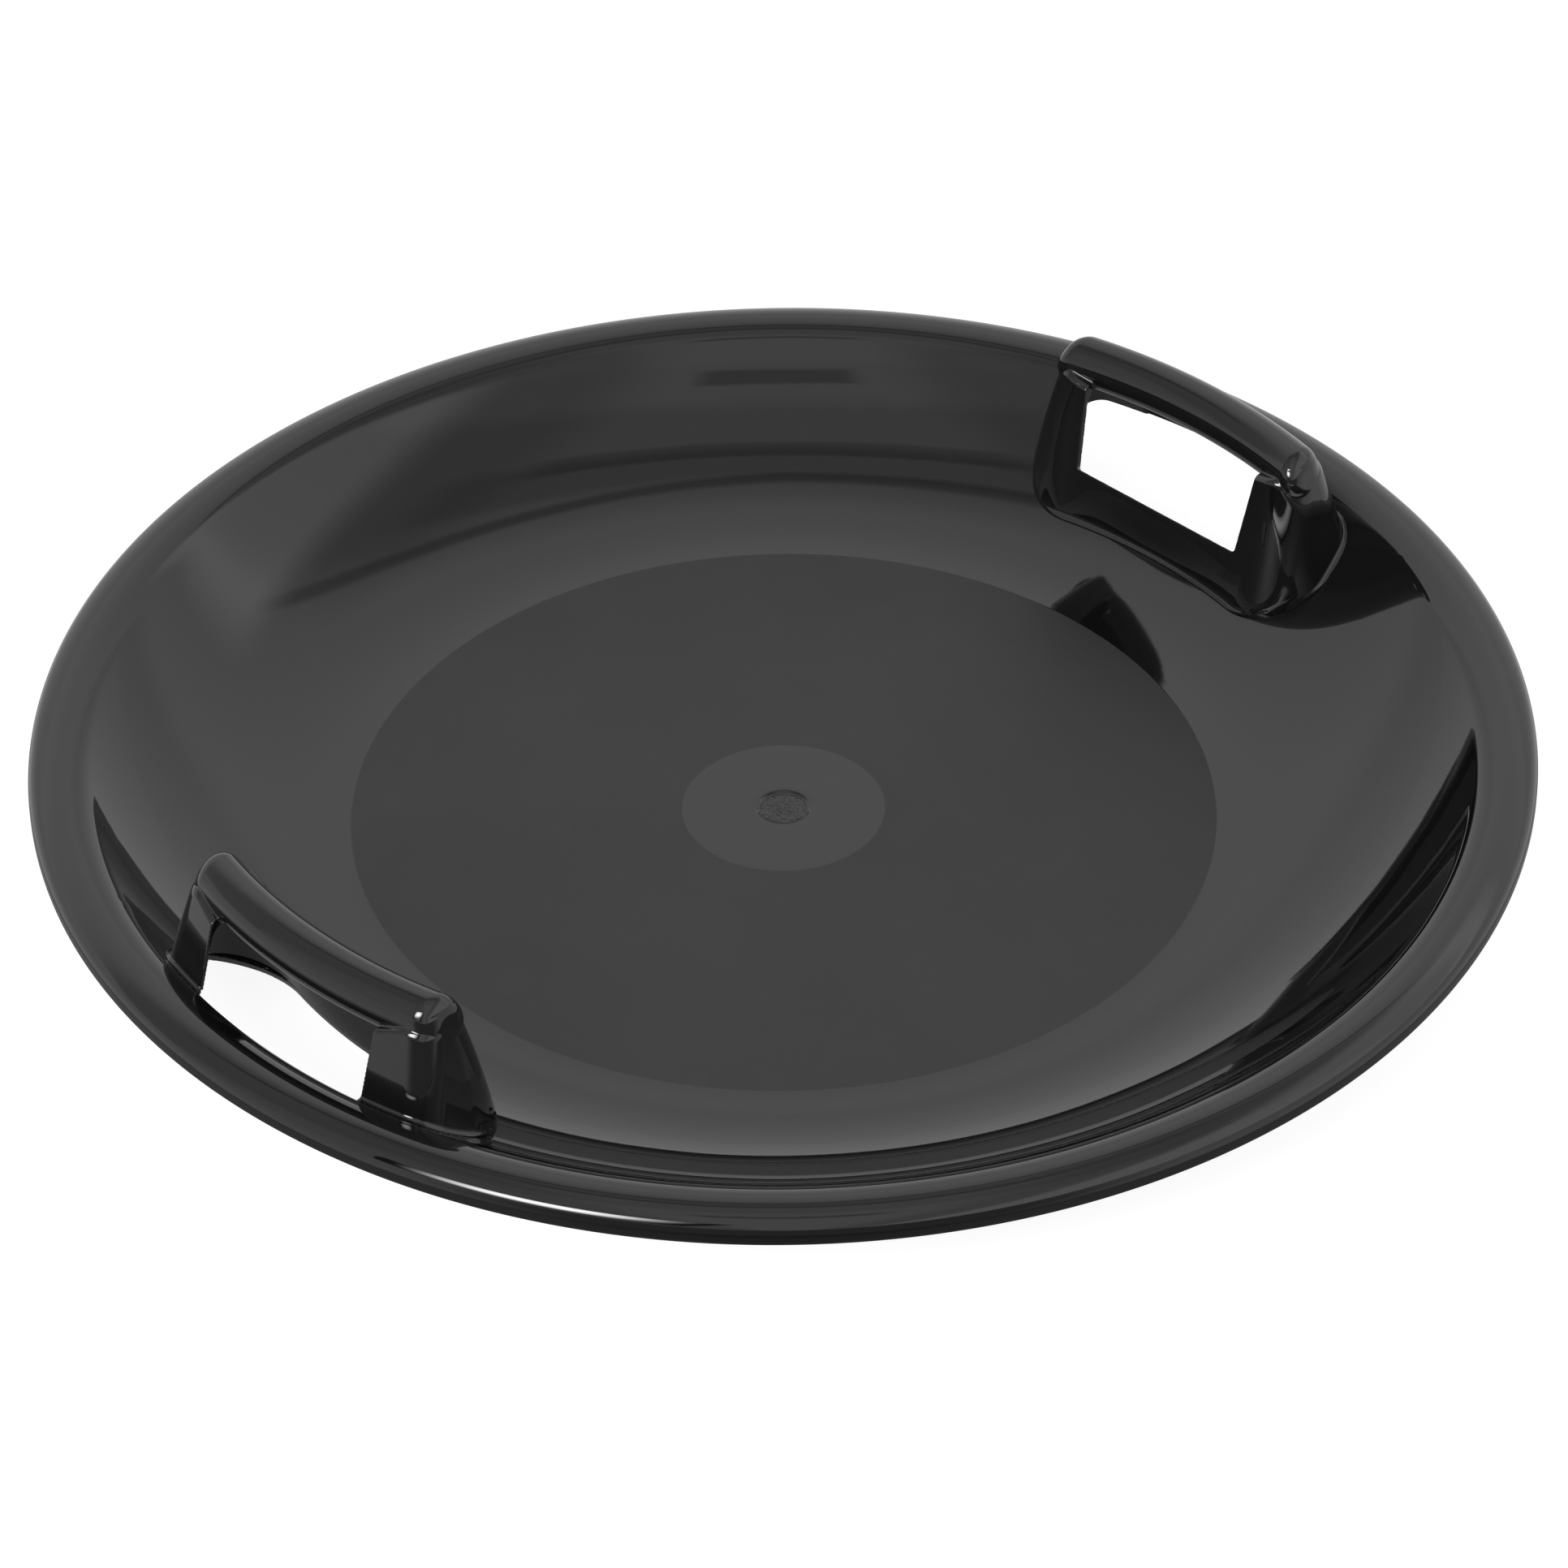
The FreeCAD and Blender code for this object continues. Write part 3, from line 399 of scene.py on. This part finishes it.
# ---------------------------------------------------------------- materials
class Tree:
    """Short hand for building a node tree."""

    def __init__(self, tree):
        self.t = tree

    def put(self, sock, value):
        if isinstance(value, bpy.types.NodeSocket):
            self.t.links.new(value, sock)
        else:
            sock.default_value = value

    def math(self, op, a, b=0.0, clamp=False):
        n = self.t.nodes.new("ShaderNodeMath")
        n.operation = op
        n.use_clamp = clamp
        self.put(n.inputs[0], a)
        self.put(n.inputs[1], b)
        return n.outputs[0]

    def object_xyz(self):
        c = self.t.nodes.new("ShaderNodeTexCoord").outputs["Object"]
        s = self.t.nodes.new("ShaderNodeSeparateXYZ")
        self.t.links.new(c, s.inputs[0])
        return c, s.outputs

    def step(self, value, lo, hi, a=0.0, b=1.0):
        n = self.t.nodes.new("ShaderNodeMapRange")
        n.interpolation_type = "SMOOTHSTEP"
        self.put(n.inputs["Value"], value)
        for k, v in (("From Min", lo), ("From Max", hi), ("To Min", a), ("To Max", b)):
            self.put(n.inputs[k], v)
        return n.outputs["Result"]

    def noise(self, coord, scale, detail=2.0, rough=0.5, stretch=None):
        if stretch:
            m = self.t.nodes.new("ShaderNodeMapping")
            m.inputs["Scale"].default_value = stretch
            self.t.links.new(coord, m.inputs["Vector"])
            coord = m.outputs[0]
        n = self.t.nodes.new("ShaderNodeTexNoise")
        self.t.links.new(coord, n.inputs["Vector"])
        n.inputs["Scale"].default_value = scale
        n.inputs["Detail"].default_value = detail
        n.inputs["Roughness"].default_value = rough
        return n.outputs["Fac"]

    def bump(self, height, strength, distance, normal=None):
        n = self.t.nodes.new("ShaderNodeBump")
        n.inputs["Strength"].default_value = strength
        n.inputs["Distance"].default_value = distance
        self.put(n.inputs["Height"], height)
        if normal is not None:
            self.t.links.new(normal, n.inputs["Normal"])
        return n.outputs["Normal"]

    def mix(self, fac, a, b):
        """Mix of two numbers."""
        n = self.t.nodes.new("ShaderNodeMix")
        n.data_type = "FLOAT"
        self.put(n.inputs[0], fac)
        self.put(n.inputs[2], a)
        self.put(n.inputs[3], b)
        return n.outputs[0]

    def ramp(self, fac, lo, hi):
        n = self.t.nodes.new("ShaderNodeMix")
        n.data_type = "RGBA"
        self.put(n.inputs[0], fac)
        n.inputs[6].default_value = lo
        n.inputs[7].default_value = hi
        return n.outputs[2]


class Nodes(Tree):
    """A new material with one shader."""

    def __init__(self, name):
        self.mat = bpy.data.materials.new(name)
        self.mat.use_nodes = True
        super().__init__(self.mat.node_tree)
        self.t.nodes.clear()
        self.out = self.t.nodes.new("ShaderNodeOutputMaterial")
        self.bsdf = self.t.nodes.new("ShaderNodeBsdfPrincipled")
        self.t.links.new(self.bsdf.outputs[0], self.out.inputs[0])


def plastic(name, zones):
    k = Nodes(name)
    co, xyz = k.object_xyz()
    smudge = k.noise(co, 9.0, 4.0, 0.6)
    fine = k.noise(co, 420.0, 3.0, 0.6)
    wave = k.noise(co, 16.0, 1.0, 0.4)
    rough = k.step(smudge, 0.35, 0.75, 0.02, 0.04)
    height = k.math("MULTIPLY", wave, 1.0)
    nrm = k.bump(height, 0.25, 0.0006)
    nrm = k.bump(fine, 0.05, 0.00004, nrm)
    dust = k.step(k.noise(co, 60.0, 6.0, 0.7), 0.55, 0.8)
    if zones:
        r = k.math("SQRT", k.math("ADD", k.math("MULTIPLY", xyz[0], xyz[0]), k.math("MULTIPLY", xyz[1], xyz[1])))
        ring = k.math("MULTIPLY", k.step(r, 0.0405, 0.0412), k.step(r, 0.1741, 0.1747, 1.0, 0.0))
        ring = k.math("MULTIPLY", ring, k.step(xyz[2], 0.0018, 0.0026))
        grain = k.noise(co, 1900.0, 2.0, 0.55)
        rough = k.mix(ring, rough, k.step(smudge, 0.3, 0.8, 0.46, 0.52))
        nrm = k.bump(k.math("MULTIPLY", grain, ring), 0.35, 0.00012, nrm)
        dust = k.math("MULTIPLY", dust, k.mix(ring, 0.6, 1.0))
        mark = k.math("MULTIPLY", k.step(r, 0.0088, 0.0102, 1.0, 0.0), k.step(xyz[2], 0.0012, 0.002))
        nrm = k.bump(k.math("MULTIPLY", k.noise(co, 380.0, 3.0, 0.6), mark), 1.0, 0.0012, nrm)
        rough = k.mix(mark, rough, 0.07)
    col = k.ramp(dust, (0.0035, 0.0035, 0.0038, 1), (0.0065, 0.0065, 0.0068, 1))
    k.put(k.bsdf.inputs["Base Color"], col)
    k.put(k.bsdf.inputs["Roughness"], rough)
    k.put(k.bsdf.inputs["Normal"], nrm)
    k.bsdf.inputs["IOR"].default_value = 1.5
    return k.mat


# ---------------------------------------------------------------- put together
pan = build_pan()
right, left = build_handles()
pan_mat = plastic("pan_black_plastic", True)
handle_mat = plastic("handle_black_plastic", False)
for piece, node, slot, mat in ((pan, "pan", "pan_plastic", pan_mat), (right, "right_handle", "handle_plastic", handle_mat),
                               (left, "left_handle", "handle_plastic", handle_mat)):
    piece.data.materials.append(mat)
    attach(piece, "root")
    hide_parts(node)
    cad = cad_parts[node]
    cad.data.materials.clear()
    cad.data.materials.append(mat)

# ---------------------------------------------------------------- stage, light, camera
me = bpy.data.meshes.new("floor")
S = 12.0
me.from_pydata([(-S, -S, -0.0001), (S, -S, -0.0001), (S, S, -0.0001), (-S, S, -0.0001)], [], [(0, 1, 2, 3)])
floor = bpy.data.objects.new("floor", me)
bpy.context.scene.collection.objects.link(floor)
fm = bpy.data.materials.new("floor_white")
fm.use_nodes = True
fb = fm.node_tree.nodes["Principled BSDF"]
fb.inputs["Base Color"].default_value = (0.2, 0.2, 0.2, 1)
fb.inputs["Roughness"].default_value = 0.9
fb.inputs["Specular IOR Level"].default_value = 0.0
fb.inputs["Emission Color"].default_value = (1.0, 1.0, 1.0, 1)       # lit from below, as a light table
fb.inputs["Emission Strength"].default_value = 0.9
floor.visible_glossy = False
me.materials.append(fm)

world = bpy.data.worlds.new("studio")
bpy.context.scene.world = world
world.use_nodes = True
bg = world.node_tree.nodes["Background"]
bg.inputs["Strength"].default_value = 1.0

# camera fitted to the photograph: floor-top centre at (965.4, 994.4) of 1932
E, D, ROLL, TURN = math.radians(38.23), 2.404, math.radians(-0.79), math.radians(44.9)
F_PX, CX, CY, W_PX = 7345.0, 965.4, 994.4, 1932.0


def turned(v):
    """Camera-aligned axes (x right, y away) into the part's frame."""
    c, s = math.cos(TURN), math.sin(TURN)
    return Vector((v[0] * c + v[1] * s, -v[0] * s + v[1] * c, v[2]))


# white studio: a wide soft ceiling with a bright panel behind the dish and a few dimmer gaps, dim below the table
w = Tree(world.node_tree)
look = w.t.nodes.new("ShaderNodeTexCoord").outputs["Generated"]
dots = []
for v in (Vector((0, 0, 1)), turned((0, 1, 0))):
    n = w.t.nodes.new("ShaderNodeVectorMath")
    n.operation = "DOT_PRODUCT"
    w.put(n.inputs[0], look)
    n.inputs[1].default_value = v
    dots.append(n.outputs["Value"])
rise, away = dots
near = w.math("MULTIPLY", w.step(away, -0.9, -0.55, 0.75, 0.0), w.step(rise, 0.2, 0.45, 1.0, 0.0))
round_level = w.step(rise, -0.55, -0.3, 0.28, 0.95)
w.put(bg.inputs["Color"], w.math("MULTIPLY", round_level, w.math("SUBTRACT", 1.0, near)))
H, S = 1.54, 5.0
me = bpy.data.meshes.new("ceiling")
me.from_pydata([(-S, -S, H), (S, -S, H), (S, S, H), (-S, S, H)], [], [(0, 3, 2, 1)])
ceiling = bpy.data.objects.new("ceiling", me)
bpy.context.scene.collection.objects.link(ceiling)
ceiling.visible_camera = False
cm = bpy.data.materials.new("ceiling_light")
cm.use_nodes = True
cm.node_tree.nodes.clear()
k = Tree(cm.node_tree)
glow = k.t.nodes.new("ShaderNodeEmission")
k.t.links.new(glow.outputs[0], k.t.nodes.new("ShaderNodeOutputMaterial").inputs[0])
place = k.t.nodes.new("ShaderNodeTexCoord").outputs["Object"]
me.materials.append(cm)


def along(v):
    n = k.t.nodes.new("ShaderNodeVectorMath")
    n.operation = "DOT_PRODUCT"
    k.put(n.inputs[0], place)
    n.inputs[1].default_value = Vector(v) / H
    return n.outputs["Value"]


q = along(turned((0, 1, 0)))                                         # how far behind the dish, per height
side = along(turned((1, 0, 0)))
wide = k.math("ABSOLUTE", side)


def total(*terms):
    out = terms[0]
    for t in terms[1:]:
        out = k.math("ADD", out, t)
    return out


def gap(centre, inner, outer, depth, narrow, broad):
    """A dark gap across the ceiling."""
    d = k.math("ABSOLUTE", k.math("SUBTRACT", q, centre))
    return k.math("MULTIPLY", k.step(d, inner, outer, -depth, 0.0), k.step(wide, narrow, broad, 1.0, 0.0))


slant = k.math("ADD", k.math("MULTIPLY", k.math("MAXIMUM", side, 0.0), 0.4), 0.458)
level = total(0.84, k.step(q, 0.49, 0.74, 0.0, 0.27), k.step(q, 1.3, 1.8, 0.0, -0.2),
              k.step(q, -0.11, 0.03, 0.22, 0.0), k.step(q, -0.33, -0.26, 0.1, 0.0),
              gap(0.34, 0.06, 0.14, 0.22, 0.3, 0.5), gap(slant, 0.012, 0.06, 0.4, 0.5, 0.75),
              gap(0.25, 0.03, 0.06, 0.24, 0.2, 0.3), gap(-0.21, 0.035, 0.06, 0.45, 0.1, 0.15))
level = k.math("MULTIPLY", level, k.math("SUBTRACT", 1.0, k.math("MULTIPLY", k.step(wide, 0.15, 0.35, 0.0, 0.27), k.step(q, 0.4, 0.9, 1.0, 0.0))))
level = k.math("ADD", level, k.math("MULTIPLY", k.step(side, 0.5, 0.75, 0.0, 0.75), k.step(q, 0.65, 1.0, 1.0, 0.0)))
k.put(glow.inputs["Color"], level)

# one softbox in front, to the left, fading towards its edges
me = bpy.data.meshes.new("softbox")
me.from_pydata([(-0.8, -0.6, 0), (0.8, -0.6, 0), (0.8, 0.6, 0), (-0.8, 0.6, 0)], [], [(0, 1, 2, 3)])
lamp = bpy.data.objects.new("softbox", me)
bpy.context.scene.collection.objects.link(lamp)
aim = turned((-0.46, -0.68, 0.578)).normalized()
lamp.location = aim * 2.2
lamp.rotation_euler = aim.to_track_quat("Z", "Y").to_euler()
lamp.visible_camera = False
lm = bpy.data.materials.new("softbox_light")
lm.use_nodes = True
lm.node_tree.nodes.clear()
k = Tree(lm.node_tree)
glow = k.t.nodes.new("ShaderNodeEmission")
k.t.links.new(glow.outputs[0], k.t.nodes.new("ShaderNodeOutputMaterial").inputs[0])
_, xyz = k.object_xyz()
fade = k.math("MULTIPLY", k.step(k.math("ABSOLUTE", xyz[0]), 0.1, 0.72, 1.0, 0.0), k.step(k.math("ABSOLUTE", xyz[1]), 0.05, 0.6, 1.0, 0.0))
k.put(glow.inputs["Color"], k.math("MULTIPLY", fade, 0.94))
glow.inputs["Strength"].default_value = 28.0
me.materials.append(lm)

fwd = turned((0, math.cos(E), -math.sin(E)))
rgt = turned((1, 0, 0))
upv = rgt.cross(fwd)
c, s = math.cos(ROLL), math.sin(ROLL)
rgt, upv = rgt * c + upv * s, upv * c - rgt * s
pos = Vector((0, 0, T * MM)) - fwd * D
# aim so that the centre falls on its pixel
dx, dy = (CX - W_PX / 2) / F_PX, (CY - W_PX / 2) / F_PX
fwd2 = (fwd - rgt * dx + upv * dy).normalized()
rgt2 = (rgt - fwd2 * rgt.dot(fwd2)).normalized()
up2 = rgt2.cross(fwd2)
cam = bpy.data.objects.new("camera", bpy.data.cameras.new("camera"))
bpy.context.scene.collection.objects.link(cam)
m = Matrix.Identity(4)
for i in range(3):
    m[i][0], m[i][1], m[i][2], m[i][3] = rgt2[i], up2[i], -fwd2[i], pos[i]
cam.matrix_world = m
cam.data.sensor_width = 36.0
cam.data.sensor_fit = "HORIZONTAL"
cam.data.lens = 36.0 * F_PX / W_PX
cam.data.clip_end = 100.0
cam.data.dof.use_dof = False
bpy.context.scene.camera = cam
bpy.context.scene.view_settings.view_transform = "Standard"
